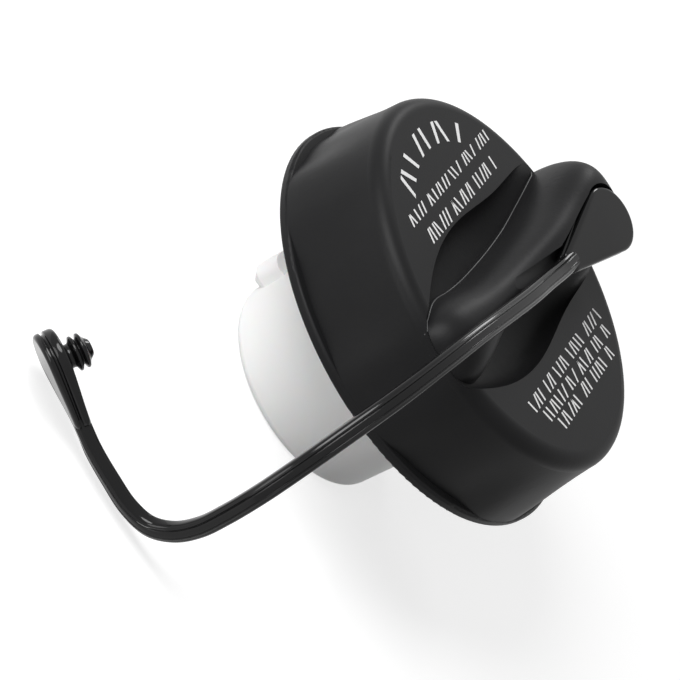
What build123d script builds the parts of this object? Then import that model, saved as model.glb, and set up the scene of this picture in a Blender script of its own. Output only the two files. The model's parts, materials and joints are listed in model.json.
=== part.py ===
# Quarter-turn fuel filler cap with a torque-limiting handle, a two-way tank valve and a moulded tether.
# Millimetres. The cap's axis is Z and points out of the filler neck. Z = 0 is the underside of the
# cover's lip, and the handle runs along Y, with the tether's pivot at its +Y end.
from build123d import *
import math
import os

os.makedirs("parts", exist_ok=True)

# ---- cover: lip, skirt and top edge
lip_radius = 40.0
lip_height = 2.0
lip_round = 0.6
skirt_radius = 38.2
edge_radius = 37.2
edge_round = 3.0
cover_height = 20.8
skirt_wall = 3.0
top_wall = 2.6
pocket_margin = 1.0
trough_clearance = 1.0
section_steps = 10
lobe_count = 6
lobe_rise = 1.7
lobe_land_angle = 6.0
lobe_foot_angle = 22.0
lobe_low_share = 0.85
lobe_high_share = 0.45
outline_points = 72

# ---- finger trough across the cover, and the handle that stands in it
trough_depth = 4.4
trough_half_length = 36.5
trough_half_width = 14.3
trough_squareness = 0.65
handle_root = 14.2
handle_height = 33.0
handle_half_width = 9.7
handle_end_inset = 0.6
# Stations along the trough: shares of its half length, half width and depth.
trough_stations = [
    (-1.06, 0.46, 0.34),
    (-0.93, 0.58, 0.50),
    (-0.77, 0.75, 0.72),
    (-0.49, 0.95, 0.96),
    (-0.10, 1.00, 1.00),
    (0.30, 0.90, 0.80),
    (0.60, 0.88, 0.50),
    (0.85, 0.87, 0.24),
    (1.06, 0.84, 0.06),
]
# Stations along the handle: shares of its half length, half width and height over the top edge's
# foot, then the fullness of the arch and how far its foot draws in.
handle_stations = [
    (-1.000, 0.58, 0.08, 2.20, 1.00),
    (-0.956, 0.71, 0.24, 2.30, 1.00),
    (-0.885, 0.80, 0.36, 2.40, 1.00),
    (-0.740, 0.84, 0.445, 2.30, 1.00),
    (-0.454, 0.67, 0.515, 2.10, 0.95),
    (0.000, 0.63, 0.658, 2.05, 0.90),
    (0.317, 0.70, 0.800, 2.15, 0.82),
    (0.590, 0.89, 0.908, 2.40, 0.76),
    (0.836, 1.00, 1.000, 2.80, 0.84),
    (0.934, 0.99, 0.934, 2.80, 0.90),
    (0.986, 0.92, 0.697, 2.60, 0.95),
    (1.000, 0.83, 0.080, 2.40, 1.00),
]

# ---- closure housing that enters the filler neck
housing_length = 26.8
housing_radius = 20.5
housing_top_radius = 21.5
housing_wall = 2.2
housing_end_round = 1.6
flange_lift = 2.4
flange_thickness = 2.2
flange_gap = 0.8
ear_tip_radius = 24.3
ear_top = -15.4
ear_height = 7.8
ear_angle = 34.0
ear_starts = (152.0, 24.0)
ear_ramp = 8.0
ear_side_round = 2.2
ear_lead_in = 2.0

# ---- torque clutch
tooth_count = 24
tooth_height = 1.0
tooth_land = 0.07
ratchet_outer_radius = 29.6
ratchet_wall = 2.4
ratchet_height = 4.2
pawl_count = 3
pawl_thickness = 1.3
pawl_sweep = 60.0
pawl_root = 9.0
pawl_gap = 1.0
pawl_nose_gap = 0.25
collar_thickness = 1.0
collar_key = 0.6
collar_key_angle = 7.0
pawl_space = 5.4
rim_thickness = 1.2
drive_ring_height = 3.4
drive_ring_lift = 0.4
web_height = 2.4
post_radius = 4.0
post_fit = 0.08
hub_radius = 7.4
hub_height = 4.2
washer_thickness = 0.5
washer_gap = 0.1
boss_radius = 7.2
lug_inset = 2.2
lug_width = 2.4
lug_angle = 16.0
lug_clearance = 0.4
lug_slack = 0.6
lost_motion = 30.0
torsion_wire = 1.1
torsion_radius = 9.6
torsion_turns = 2.5
torsion_pitch = 1.6
torsion_leg = 5.2
anchor_radius = 0.9
anchor_height = 1.8

# ---- retainer that keeps the closure in the cover
retainer_depth = 0.7
retainer_height = 1.5
retainer_lift = 0.5
retainer_width = 4.2

# ---- neck seal
seal_inner_radius = 21.9
seal_outer_radius = 28.0
seal_height = 3.4
seal_lip = 1.2

# ---- valve
seat_level = -13.0
seat_thickness = 3.0
seat_bore_radius = 9.0
seat_bead_radius = 11.5
seat_bead_height = 0.6
seat_step = 1.2
seat_ring_section = 0.8
gasket_inner_radius = 5.6
gasket_outer_radius = 14.0
gasket_thickness = 1.2
plate_radius = 15.0
plate_thickness = 1.6
plate_rim = 1.2
port_radius = 1.1
port_count = 3
spring_wire = 1.1
spring_radius = 12.6
spring_turns = 3.5
stem_radius = 1.3
stem_fit = 0.08
guide_height = 0.9
plunger_radius = 7.4
plunger_thickness = 1.4
plunger_rim = 1.0
stem_groove = 0.3
vacuum_ring_section = 0.7
clip_radius = 3.0
clip_thickness = 0.8
vacuum_wire = 0.5
vacuum_spring_radius = 2.3
vacuum_turns = 4.0
stem_length = 10.6
valve_cover_thickness = 2.2
vent_count = 6
vent_radius = 1.7
vent_circle = 10.5
baffle_radius = 13.0
baffle_thickness = 1.2
baffle_drop = 3.2
baffle_leg_radius = 1.2
baffle_leg_count = 3
end_cap_thickness = 2.0
end_cap_rim = 2.6
end_cap_wall = 1.2
end_slot_count = 6
end_slot_angle = 34.0
end_slot_width = 4.0
end_slot_inset = 5.4
fit = 0.05

# ---- tether
strap_width = 3.4
strap_thickness = 2.8
strap_round = 0.9
paddle_radius = 6.5
paddle_thickness = 3.6
paddle_neck_width = 3.8
neck_lead = 1.5
paddle_gap = 0.25
paddle_edge_round = 0.8
paddle_groove = 0.5
paddle_groove_height = 0.7
paddle_groove_drop = 1.1
near_paddle_length = 26.0
far_paddle_length = 17.2
far_paddle_radius = 5.6
pivot_x = 4.6
pivot_y = 26.6
pivot_top = 32.4
pivot_tilt = 8.0
pin_radius = 2.35
pin_fit = 0.07
pin_land = 3.4
pin_head_radius = 2.9
pin_tip_radius = 1.6
pin_head_height = 3.2
pin_core_gap = 0.5
swing_left = 3.0
swing_right = 120.0
strap_height = 28.0
strap_gap = 0.4
strap_drift = 2.2
channel_end = -14.0
push_pin_radius = 2.1
push_ridge_radius = 3.1
push_ridge_height = 0.9
push_ridge_gap = 0.4
push_shank = 1.2
push_ridge_count = 2
push_tip = 0.9
push_tip_radius = 1.3
split_width = 0.8

# ---- hollow inside the handle
core_foot_half_width = 3.4
core_top_half_width = 2.2
core_near = -28.0
core_far = 31.0
core_near_height = 19.6
core_far_height = 24.4

# ---- levels and radii that follow from the sizes above
edge_level = cover_height - edge_round
trough_floor = cover_height - trough_depth
ceiling = trough_floor - top_wall
handle_half_length = edge_radius - handle_end_inset
cover_bore = skirt_radius - skirt_wall
flange_top = flange_lift + flange_thickness
flange_radius = cover_bore - flange_gap
housing_bore = housing_radius - housing_wall
housing_end = -housing_length
ratchet_root_radius = ratchet_outer_radius - ratchet_wall
rim_radius = ratchet_root_radius - pawl_space
lug_outer_radius = rim_radius - lug_inset
lug_inner_radius = lug_outer_radius - lug_width
retainer_inner_radius = cover_bore - retainer_width
drive_base = flange_top + drive_ring_lift
web_top = drive_base + web_height
hub_top = drive_base + hub_height
washer_base = hub_top + washer_gap
boss_base = washer_base + washer_thickness + washer_gap
ratchet_tip_radius = ratchet_root_radius - tooth_height
valve_cover_base = flange_top - valve_cover_thickness
bead_top = seat_level + seat_bead_height
gasket_top = bead_top + gasket_thickness
plate_top = gasket_top + plate_thickness
rim_top = drive_base + drive_ring_height
spring_base = web_top + fit + torsion_wire / 2
spring_bend = math.degrees(torsion_wire / 2 / torsion_radius)
low_leg = spring_bend
high_leg = 360.0 * torsion_turns - spring_bend
lug_end = drive_base + lug_clearance
lug_root = ceiling + fit
chamber_radius = housing_bore - seat_step
end_floor = housing_end + end_cap_thickness
pawl_inner = rim_radius + fit + collar_thickness + pawl_gap
pawl_outer = pawl_inner + pawl_thickness
tooth_pitch = 360.0 / tooth_count
stem_guide_radius = stem_radius + stem_fit
head_top = bead_top - vacuum_ring_section
clip_base = head_top + stem_length - 2 * clip_thickness
TOP = (Align.CENTER, Align.CENTER, Align.MIN)
BOTTOM = (Align.CENTER, Align.CENTER, Align.MAX)


def tube(outer, inner, bottom, top):
    """A straight ring between two levels."""
    ring = Cylinder(outer, top - bottom, align=TOP) - Cylinder(inner, top - bottom, align=TOP)
    return Pos(0, 0, bottom) * ring


def disc(radius, bottom, top):
    return Pos(0, 0, bottom) * Cylinder(radius, top - bottom, align=TOP)


def polar(radius, degrees):
    angle = math.radians(degrees)
    return (radius * math.cos(angle), radius * math.sin(angle))


def sector(outer, inner, start, end, bottom, top):
    """A block bounded by two arcs about the axis and two radial faces."""
    middle = (start + end) / 2
    outline = [
        ThreePointArc(polar(outer, start), polar(outer, middle), polar(outer, end)),
        Line(polar(outer, end), polar(inner, end)),
        ThreePointArc(polar(inner, end), polar(inner, middle), polar(inner, start)),
        Line(polar(inner, start), polar(outer, start)),
    ]
    face = make_face(Curve() + outline)
    return Pos(0, 0, bottom) * extrude(face, top - bottom)


# ---- cover


def lobe_swell(angle):
    """How far a grip lobe stands out at an angle: 1 on its land, 0 beyond its foot."""
    pitch = 360.0 / lobe_count
    off = abs((angle - pitch / 2) % pitch)
    off = min(off, pitch - off)
    share = (off - lobe_land_angle) / (lobe_foot_angle - lobe_land_angle)
    return (1 + math.cos(math.pi * min(max(share, 0.0), 1.0))) / 2


def lobed_outline(radius, rise, level):
    """Closed outline of the skirt: a circle that swells at each grip lobe."""
    points = []
    for index in range(outline_points):
        angle = 360.0 * index / outline_points
        x, y = polar(radius + rise * lobe_swell(angle), angle)
        points.append(Vector(x, y, level))
    return Wire([Edge.make_spline(points, periodic=True)])


def skirt():
    """Wall lofted from the lobed outline at the lip to a round top edge, then the rounded edge."""
    taper = skirt_radius - edge_radius
    wires = [lobed_outline(skirt_radius, lobe_rise, lip_height / 2)]
    wires.append(lobed_outline(skirt_radius - taper / 3, lobe_rise * lobe_low_share, edge_level / 3))
    wires.append(
        lobed_outline(skirt_radius - 2 * taper / 3, lobe_rise * lobe_high_share, 2 * edge_level / 3)
    )
    wires.append(Wire.make_circle(edge_radius, Plane.XY.offset(edge_level)))
    wall = Solid.make_loft(wires)
    corner = edge_radius - edge_round
    side = Line((edge_radius, edge_level), (0, edge_level))
    middle_of_arc = polar(edge_round, 45.0)
    arc = ThreePointArc(
        (edge_radius, edge_level),
        (corner + middle_of_arc[0], edge_level + middle_of_arc[1]),
        (corner, cover_height),
    )
    top = Polyline((corner, cover_height), (0, cover_height), (0, edge_level))
    cap = revolve(Plane.XZ * make_face(Curve() + [side, arc, top]), Axis.Z)
    return wall + cap


def lip():
    rim = Cylinder(lip_radius, lip_height, align=TOP)
    return fillet(rim.edges().filter_by(GeomType.CIRCLE), lip_round)


def trough_section(along, width, depth):
    """Rounded-bottom section of the finger trough, from its shares of the trough's sizes."""
    top = cover_height + trough_clearance
    half_width = width * trough_half_width
    drop = depth * trough_depth + trough_clearance
    points = []
    for step in range(section_steps + 1):
        angle = math.pi * step / section_steps
        x = -half_width * math.copysign(abs(math.cos(angle)) ** trough_squareness, math.cos(angle))
        z = top - drop * abs(math.sin(angle)) ** trough_squareness
        points.append(Vector(x, along * trough_half_length, z))
    edge = Edge.make_spline(points)
    return Wire([edge, Edge.make_line(points[-1], points[0])])


def trough():
    return Solid.make_loft([trough_section(*station) for station in trough_stations])


def handle_section(along, width, height, fullness, foot):
    """Arched section of the handle: drawn in at its foot and rounded over the crest."""
    half_width = width * handle_half_width
    crest = edge_level + height * (handle_height - edge_level)
    points = []
    for step in range(section_steps + 1):
        angle = math.pi * step / section_steps
        rise = abs(math.sin(angle)) ** (2.0 / fullness)
        reach = math.copysign(abs(math.cos(angle)) ** (2.0 / fullness), math.cos(angle))
        x = -half_width * reach * (foot + (1 - foot) * rise)
        z = handle_root + (crest - handle_root) * rise
        points.append(Vector(x, along * handle_half_length, z))
    edge = Edge.make_spline(points)
    return Wire([edge, Edge.make_line(points[-1], points[0])])


def handle():
    return Solid.make_loft([handle_section(*station) for station in handle_stations])


# ---- tether seat in the handle's far end
pivot = Plane(
    origin=(pivot_x, pivot_y, pivot_top),
    x_dir=(1, 0, 0),
    z_dir=(0, -math.sin(math.radians(pivot_tilt)), math.cos(math.radians(pivot_tilt))),
)
seat_depth = paddle_thickness + paddle_gap


def paddle_outline(radius, length):
    """Teardrop: a round head about the pin, tapering to the strap along -Y."""
    apex = length - radius
    half = paddle_neck_width / 2
    turn = math.asin((radius - half) / apex)
    left = (-radius * math.cos(turn), -radius * math.sin(turn))
    right = (-left[0], left[1])
    head = ThreePointArc(right, (0, radius), left)
    sides = Polyline(left, (-half, -apex), (half, -apex), right)
    return make_face(Curve() + [head, sides])


def tether_seat():
    """Recess that the paddle turns in, open on the side that the tether swings to."""
    edge = paddle_radius + 2 * paddle_gap
    apex = near_paddle_length - paddle_radius
    apex_left = -paddle_neck_width / 2 - 2 * paddle_gap - apex * math.sin(math.radians(swing_left))
    reach = lip_radius
    right = swing_right - 90.0
    well = Cylinder(edge, reach, align=TOP)
    outline = Polyline(
        (-edge, 0),
        (apex_left, -apex),
        (reach, -apex),
        polar(reach, right),
        polar(edge, right + 90.0),
        (-edge, 0),
    )
    return pivot * Pos(0, 0, -seat_depth) * (well + extrude(make_face(outline), reach))


def strap_channel():
    """Step in the handle's top that the strap lies in, running out towards the near end."""
    floor = strap_height - strap_thickness / 2 - strap_gap
    start = pivot_y - near_paddle_length + 2 * paddle_radius
    swing = math.sin(math.radians(swing_left))
    left = pivot_x - strap_width / 2 - strap_gap
    outline = Polyline(
        (left - (pivot_y - start) * swing, start),
        (left - strap_drift - (pivot_y - channel_end) * swing, channel_end),
        (lip_radius, channel_end),
        (lip_radius, start),
        close=True,
    )
    return Pos(0, 0, floor) * extrude(make_face(outline), lip_radius)


def pin_bore():
    """Bore for the tether's pin, and the wider core below it that the pin's head snaps into."""
    land_base = -seat_depth - pin_land
    land = Pos(0, 0, land_base) * Cylinder(pin_radius + pin_fit, pin_land + seat_depth, align=TOP)
    core = Pos(0, 0, land_base) * Cylinder(pin_head_radius + pin_core_gap, lip_radius, align=BOTTOM)
    return pivot * (land + core)


def rectangle_wire(half_width, near, far, near_level, far_level):
    corners = [
        (-half_width, near, near_level),
        (half_width, near, near_level),
        (half_width, far, far_level),
        (-half_width, far, far_level),
    ]
    return Wire.make_polygon([Vector(*corner) for corner in corners], close=True)


def handle_core():
    """Drafted slot that keeps the handle's walls even, open to the inside of the cover."""
    foot_level = ceiling - top_wall
    foot = rectangle_wire(core_foot_half_width, core_near, core_far, foot_level, foot_level)
    top = rectangle_wire(core_top_half_width, core_near, core_far, core_near_height, core_far_height)
    return Solid.make_loft([foot, top], ruled=True)


def drive_lug(index, bottom, top):
    """Block under the cover that turns the drive ring."""
    start = 360.0 / pawl_count * index - lug_angle / 2
    return sector(lug_outer_radius, lug_inner_radius, start, start + lug_angle, bottom, top)


def pocket(side):
    """Core beside the trough, with the roots of the drive lugs left standing in it."""
    base = ceiling - top_wall
    edge = trough_half_width + top_wall
    body = disc(edge_radius - edge_round - pocket_margin, base, cover_height - top_wall)
    offset = edge if side == Align.MIN else -edge
    body = body & Pos(offset, 0, base) * Box(
        lip_radius, 2 * lip_radius, cover_height, align=(side, Align.CENTER, Align.MIN)
    )
    for index in range(pawl_count):
        body = body - drive_lug(index, base, cover_height)
    return body


def cover_hollow():
    """Bore for the closure, the retainer's groove, and the cores that keep the walls even."""
    bore = disc(cover_bore, -lip_height, ceiling)
    groove_top = retainer_lift + retainer_height
    groove = tube(cover_bore + retainer_depth, cover_bore - retainer_depth, retainer_lift, groove_top)
    return [bore, groove, pocket(Align.MIN), pocket(Align.MAX), handle_core()]


def anchor(angle, bottom, top):
    """Peg that a leg of the torsion spring bears on."""
    circle = torsion_radius + torsion_leg / 2
    offset = math.degrees((torsion_wire / 2 + anchor_radius + fit) / circle)
    x, y = polar(circle, angle + offset)
    return Pos(x, y, 0) * disc(anchor_radius, bottom, top)


def make_cover():
    body = skirt() + lip()
    body = body - trough()
    body = body + handle()
    body = body - tether_seat() - strap_channel()
    for hollow in cover_hollow():
        body = body - hollow
    body = body + tube(boss_radius, post_radius + post_fit, boss_base, lug_root)
    for index in range(pawl_count):
        body = body + drive_lug(index, lug_end, lug_root)
    upper_leg = spring_base + torsion_pitch * torsion_turns
    body = body + anchor(high_leg, upper_leg - anchor_height, lug_root)
    return body - pin_bore()


def make_cover_retainer():
    """Ring snapped into the groove inside the lip, which keeps the closure in the cover."""
    low = retainer_lift + fit
    high = retainer_lift + retainer_height - fit
    ring = tube(cover_bore + retainer_depth - fit, retainer_inner_radius, low, high)
    lead_in = ring.edges().filter_by(GeomType.CIRCLE).group_by(Axis.Z)[0]
    return chamfer(lead_in, retainer_depth / 2)


# ---- closure housing and what is fixed in it


def housing_profile():
    """Half section of the cup: drafted wall, bore, step for the valve seat, and the top flange."""
    seat_shelf = seat_level - seat_thickness
    outline = Polyline(
        (housing_top_radius, flange_lift),
        (flange_radius, flange_lift),
        (flange_radius, flange_top),
        (housing_bore, flange_top),
        (housing_bore, seat_shelf),
        (chamber_radius, seat_shelf),
        (chamber_radius, end_floor),
        (housing_bore, end_floor),
        (housing_bore, housing_end),
        (housing_radius, housing_end),
        close=True,
    )
    return make_face(Plane.XZ * outline)


def bayonet_ear(start):
    """Locking ear: a block with a round nose, whose upper flank ramps up to bear under the neck's cam."""
    inner = housing_radius - housing_wall / 2
    block = sector(ear_tip_radius, inner, start, start + ear_angle, ear_top - ear_height, ear_top)
    upright = block.edges().filter_by(Axis.Z)
    corners = upright.sort_by(lambda edge: math.hypot(edge.center().X, edge.center().Y))[-2:]
    block = fillet(corners, ear_side_round)
    lead_in = block.edges().filter_by(GeomType.CIRCLE).group_by(Axis.Z)[0]
    lead_in = lead_in.filter_by(lambda edge: abs(edge.radius - ear_tip_radius) < fit)
    block = chamfer(lead_in, ear_lead_in)
    middle = start + ear_angle / 2
    ramp = Plane.XY.rotated((0, 0, middle)).rotated((ear_ramp, 0, 0))
    ramp.origin = (*polar(ear_tip_radius, middle), ear_top)
    return split(block, bisect_by=ramp, keep=Keep.BOTTOM)


def make_housing():
    body = revolve(housing_profile(), Axis.Z)
    low_edges = body.edges().filter_by(GeomType.CIRCLE).group_by(Axis.Z)[0]
    body = fillet(low_edges.sort_by(lambda edge: edge.radius)[-1], housing_end_round)
    for start in ear_starts:
        body = body + bayonet_ear(start)
    return body


def make_ratchet_ring():
    """Crown of sawtooth notches: the pawls push on the steep flanks and click over the ramps."""
    points = []
    for index in range(tooth_count):
        points.append(polar(ratchet_root_radius, tooth_pitch * (index + tooth_land)))
        points.append(polar(ratchet_tip_radius, tooth_pitch * (index + 2 * tooth_land)))
        points.append(polar(ratchet_root_radius, tooth_pitch * (index + 1)))
    teeth = extrude(make_face(Polyline(*points, close=True)), ratchet_height)
    ring = Cylinder(ratchet_outer_radius, ratchet_height, align=TOP) - teeth
    return Pos(0, 0, flange_top) * ring


def make_valve_cover():
    """Plate pressed into the housing's bore, with vents and the post that the handle turns on."""
    plate = disc(housing_bore - fit, valve_cover_base, flange_top)
    post = disc(post_radius, valve_cover_base, ceiling - washer_gap)
    post = chamfer(post.edges().filter_by(GeomType.CIRCLE).sort_by(Axis.Z)[-1], washer_thickness)
    body = plate + post
    for index in range(vent_count):
        x, y = polar(vent_circle, 360.0 / vent_count * index)
        body = body - Pos(x, y, 0) * disc(vent_radius, valve_cover_base, flange_top)
    return body


def make_neck_seal():
    """Rubber seal with a flat back and two sealing lips."""
    low = flange_lift - seal_height
    middle = (seal_inner_radius + seal_outer_radius) / 2
    outline = Polyline(
        (seal_inner_radius, flange_lift),
        (seal_outer_radius, flange_lift),
        (seal_outer_radius, low + seal_lip),
        (seal_outer_radius - seal_lip, low),
        (middle + seal_lip / 2, low + seal_lip),
        (middle - seal_lip / 2, low + seal_lip),
        (seal_inner_radius + seal_lip, low),
        (seal_inner_radius, low + seal_lip),
        close=True,
    )
    ring = revolve(make_face(Plane.XZ * outline), Axis.Z)
    lips = ring.edges().filter_by(GeomType.CIRCLE).group_by(Axis.Z)[0]
    return fillet(lips, seal_lip / 3)


def make_valve_seat():
    """Seat ring on the housing's step, with the raised bead that the gasket closes on."""
    low = seat_level - seat_thickness
    middle = seat_level - seat_thickness / 2
    body = tube(housing_bore - fit, seat_bore_radius, low, seat_level)
    groove_bottom = housing_bore - 2 * seat_ring_section
    half = seat_ring_section
    body = body - tube(housing_bore, groove_bottom, middle - half, middle + half)
    bead_outer = seat_bead_radius + seat_bead_height
    bead_inner = seat_bead_radius - seat_bead_height
    bead = tube(bead_outer, bead_inner, seat_level - fit, bead_top)
    bead = fillet(bead.edges().filter_by(GeomType.CIRCLE).group_by(Axis.Z)[-1], seat_bead_height / 2)
    return body + bead


def make_seat_ring():
    """O-ring between the valve seat and the housing."""
    level = seat_level - seat_thickness / 2
    return Pos(0, 0, level) * Torus(housing_bore - seat_ring_section, seat_ring_section - fit)


def make_splash_baffle():
    """Shield under the valve, on legs that stand on the end cap."""
    top = seat_level - seat_thickness - baffle_drop
    plate = disc(baffle_radius, top - baffle_thickness, top)
    plate = fillet(plate.edges().filter_by(GeomType.CIRCLE).sort_by(Axis.Z)[0], baffle_thickness / 2)
    for index in range(baffle_leg_count):
        x, y = polar(baffle_radius - 2 * baffle_leg_radius, 360.0 / baffle_leg_count * index)
        plate = plate + Pos(x, y, 0) * disc(baffle_leg_radius, end_floor, top - baffle_thickness / 2)
    return plate


def make_end_cap():
    """Slotted disc that closes the housing's end."""
    body = disc(housing_bore - fit, housing_end, end_floor)
    rim_outer = chamber_radius - fit
    body = body + tube(rim_outer, rim_outer - end_cap_wall, housing_end, end_floor + end_cap_rim)
    outer = chamber_radius - end_slot_inset
    for index in range(end_slot_count):
        start = 360.0 / end_slot_count * index - end_slot_angle / 2
        body = body - sector(
            outer, outer - end_slot_width, start, start + end_slot_angle, housing_end, end_floor
        )
    return body


# ---- torque clutch


def drive_slot(start):
    """Slot in the web that a lug of the cover passes through, as long as the free turn."""
    outer = lug_outer_radius + lug_clearance
    inner = lug_inner_radius - lug_clearance
    return sector(
        outer, inner, start - lug_slack, start + lug_angle + lost_motion + lug_slack, drive_base, web_top
    )


def collar_keys(clearance):
    """Keys of the pawl collar; with a clearance, the notches that they sit in."""
    keys = []
    outer = rim_radius + 2 * fit
    for index in range(pawl_count):
        start = 360.0 / pawl_count * (index + 0.5) - clearance
        end = start + collar_key_angle + 2 * clearance
        keys.append(
            sector(outer, rim_radius - collar_key - clearance, start, end, drive_base, rim_top)
        )
    return keys


def make_drive_ring():
    """Hub, slotted web and rim that carry the pawls."""
    body = disc(hub_radius, drive_base, hub_top) + disc(rim_radius, drive_base, web_top)
    body = body + tube(rim_radius, rim_radius - rim_thickness, drive_base, rim_top)
    for index in range(pawl_count):
        body = body - drive_slot(360.0 / pawl_count * index - lug_angle / 2)
    for key in collar_keys(fit):
        body = body - key
    body = body + anchor(low_leg, web_top - fit, spring_base + anchor_height)
    return body - disc(post_radius + post_fit, drive_base, hub_top)


def pawl(turn):
    """Springy arm that curls round the collar and ends in a nose with one steep flank."""
    tip = tooth_pitch * round((turn + pawl_sweep) / tooth_pitch)
    collar = rim_radius + fit + collar_thickness / 2
    nose_start = tip - tooth_pitch / 2
    root = sector(pawl_outer, collar, turn, turn + pawl_root, drive_base, rim_top)
    arm = sector(pawl_outer, pawl_inner, turn + pawl_root / 2, tip, drive_base, rim_top)
    middle = (pawl_inner + pawl_outer) / 2
    nose = Polyline(
        polar(middle, nose_start),
        polar(pawl_outer, nose_start),
        polar(ratchet_root_radius - pawl_nose_gap, tip),
        polar(middle, tip),
        close=True,
    )
    return root + arm + Pos(0, 0, drive_base) * extrude(make_face(nose), rim_top - drive_base)


def make_pawl_ring():
    """Collar keyed on the drive ring, with its pawls."""
    inner = rim_radius + fit
    body = tube(inner + collar_thickness, inner, drive_base, rim_top)
    for key in collar_keys(0.0):
        body = body + key
    for index in range(pawl_count):
        body = body + pawl(360.0 / pawl_count * index)
    return body


def make_thrust_washer():
    return tube(boss_radius, post_radius + 2 * post_fit, washer_base, washer_base + washer_thickness)


def coil(radius, wire, pitch, turns, base):
    """Helical spring of round wire; the lowest point of its wire is at the base level."""
    path = Helix(pitch=pitch, height=pitch * turns, radius=radius)
    section = Plane(origin=path @ 0, z_dir=path % 0) * Circle(wire / 2)
    return Pos(0, 0, base + wire / 2) * sweep(section, path=path)


def spring_leg(angle, level):
    """Straight leg that leaves the end of the coil outwards."""
    x, y = polar(torsion_radius + torsion_leg / 2, angle)
    return Pos(x, y, level) * Rot(0, 0, angle) * Rot(0, 90, 0) * Cylinder(torsion_wire / 2, torsion_leg)


def make_return_spring():
    """Torsion spring round the boss that brings the handle back after its free turn."""
    low = spring_base
    high = low + torsion_pitch * torsion_turns
    body = coil(torsion_radius, torsion_wire, torsion_pitch, torsion_turns, low - torsion_wire / 2)
    return body + spring_leg(low_leg, low) + spring_leg(high_leg, high)


# ---- valve


def make_pressure_plate():
    """Stiff plate over the gasket, with a rim that centres the spring and a guide for the stem."""
    guide_top = plate_top + guide_height
    body = disc(plate_radius, gasket_top, plate_top)
    body = body + tube(plate_radius, plate_radius - plate_rim, plate_top - fit, plate_top + plate_rim)
    body = body + disc(stem_guide_radius + port_radius, plate_top - fit, guide_top)
    port_circle = (stem_guide_radius + gasket_inner_radius) / 2
    for index in range(port_count):
        x, y = polar(port_circle, 360.0 / port_count * index)
        body = body - Pos(x, y, 0) * disc(port_radius, gasket_top, guide_top)
    return body - disc(stem_guide_radius, gasket_top, guide_top)


def make_pressure_seal():
    return tube(gasket_outer_radius, gasket_inner_radius, bead_top, gasket_top)


def make_pressure_spring():
    """Coil that presses the plate on its seat, held down by the valve cover."""
    pitch = (valve_cover_base - plate_top - spring_wire) / spring_turns
    return coil(spring_radius, spring_wire, pitch, spring_turns, plate_top)


def make_vacuum_plunger():
    """Vacuum valve: a stem through the plate and a head that closes on the gasket from below."""
    rim_inner = plunger_radius - plunger_rim
    body = disc(plunger_radius, head_top - plunger_thickness, head_top)
    body = body + tube(plunger_radius, rim_inner, head_top - fit, bead_top - fit)
    body = body + disc(stem_radius, head_top - fit, head_top + stem_length)
    groove_top = clip_base + clip_thickness + fit
    groove = tube(2 * stem_radius, stem_radius - stem_groove, clip_base - fit, groove_top)
    return body - groove


def make_vacuum_seal():
    """Soft ring on the plunger's head that closes on the gasket's underside."""
    centre = (gasket_inner_radius + plunger_radius - plunger_rim) / 2
    half = vacuum_ring_section / 2
    return Pos(0, 0, bead_top - half) * Torus(centre, half - fit)


def make_vacuum_clip():
    """Push-on washer in the groove of the stem."""
    bore = stem_radius - stem_groove + fit
    clip = tube(clip_radius, bore, clip_base, clip_base + clip_thickness)
    mouth = Box(2 * bore, 2 * clip_radius, clip_thickness, align=(Align.CENTER, Align.MIN, Align.MIN))
    return clip - Pos(0, 0, clip_base) * mouth


def make_vacuum_spring():
    """Small coil between the plate's guide and the clip."""
    base = plate_top + guide_height
    pitch = (clip_base - base - vacuum_wire) / vacuum_turns
    return coil(vacuum_spring_radius, vacuum_wire, pitch, vacuum_turns, base)


# ---- tether
# Centre line of the moulded strap, from the near paddle over the handle, down past the cover and round
# to the far paddle, each point with the direction that the strap's broad outer face looks in.
strap_route = [
    ((4.3, 4.6, 28.0), (0.0, -0.06, 1.0)),
    ((3.5, -2.6, strap_height), (0.0, -0.02, 1.0)),
    ((2.4, -13.0, 28.2), (0.0, -0.02, 1.0)),
    ((0.9, -24.5, 28.0), (0.0, -0.03, 1.0)),
    ((-0.6, -36.0, 27.3), (0.0, -0.10, 1.0)),
    ((-1.8, -48.5, 25.0), (0.0, -0.24, 0.97)),
    ((-2.6, -59.5, 20.6), (0.0, -0.48, 0.88)),
    ((-3.1, -68.3, 14.0), (0.0, -0.74, 0.67)),
    ((-3.2, -74.4, 6.6), (0.0, -0.88, 0.47)),
    ((-3.0, -77.8, -1.0), (0.0, -0.97, 0.22)),
    ((-2.9, -79.1, -8.2), (0.0, -1.0, 0.02)),
    ((-3.1, -79.2, -13.6), (0.0, -0.99, -0.1)),
    ((-4.4, -79.0, -18.4), (-0.04, -0.96, -0.2)),
    ((-7.2, -78.8, -21.9), (-0.08, -0.9, -0.34)),
    ((-11.6, -78.5, -23.4), (-0.12, -0.82, -0.5)),
    ((-17.0, -78.2, -23.5), (-0.17, -0.75, -0.6)),
    ((-22.6, -77.9, -23.2), (-0.23, -0.7, -0.66)),
]
far_centre = (-38.5, -76.6, -20.5)
far_outward = (-0.25, -0.6, -0.76)


def strap_section(place, along, outward):
    """Rounded section of the strap, broad face outwards."""
    across = along.cross(outward)
    plane = Plane(origin=place, x_dir=across, z_dir=along)
    return (plane * RectangleRounded(strap_width, strap_thickness, strap_round)).wire()


def far_plane():
    """Local plane of the far paddle: its pin's axis through the top face."""
    centre = Vector(*far_centre)
    along = (centre - Vector(*strap_route[-1][0])).normalized()
    across = along.cross(Vector(*far_outward)).normalized()
    outward = across.cross(along)
    return Plane(origin=centre + outward * (paddle_thickness / 2), x_dir=across, z_dir=outward)


def neck_point(plane, reach, inset):
    """Point on a paddle's middle line, inside its neck by the inset."""
    return plane.from_local_coords(Vector(0, inset - reach, -paddle_thickness / 2))


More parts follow.
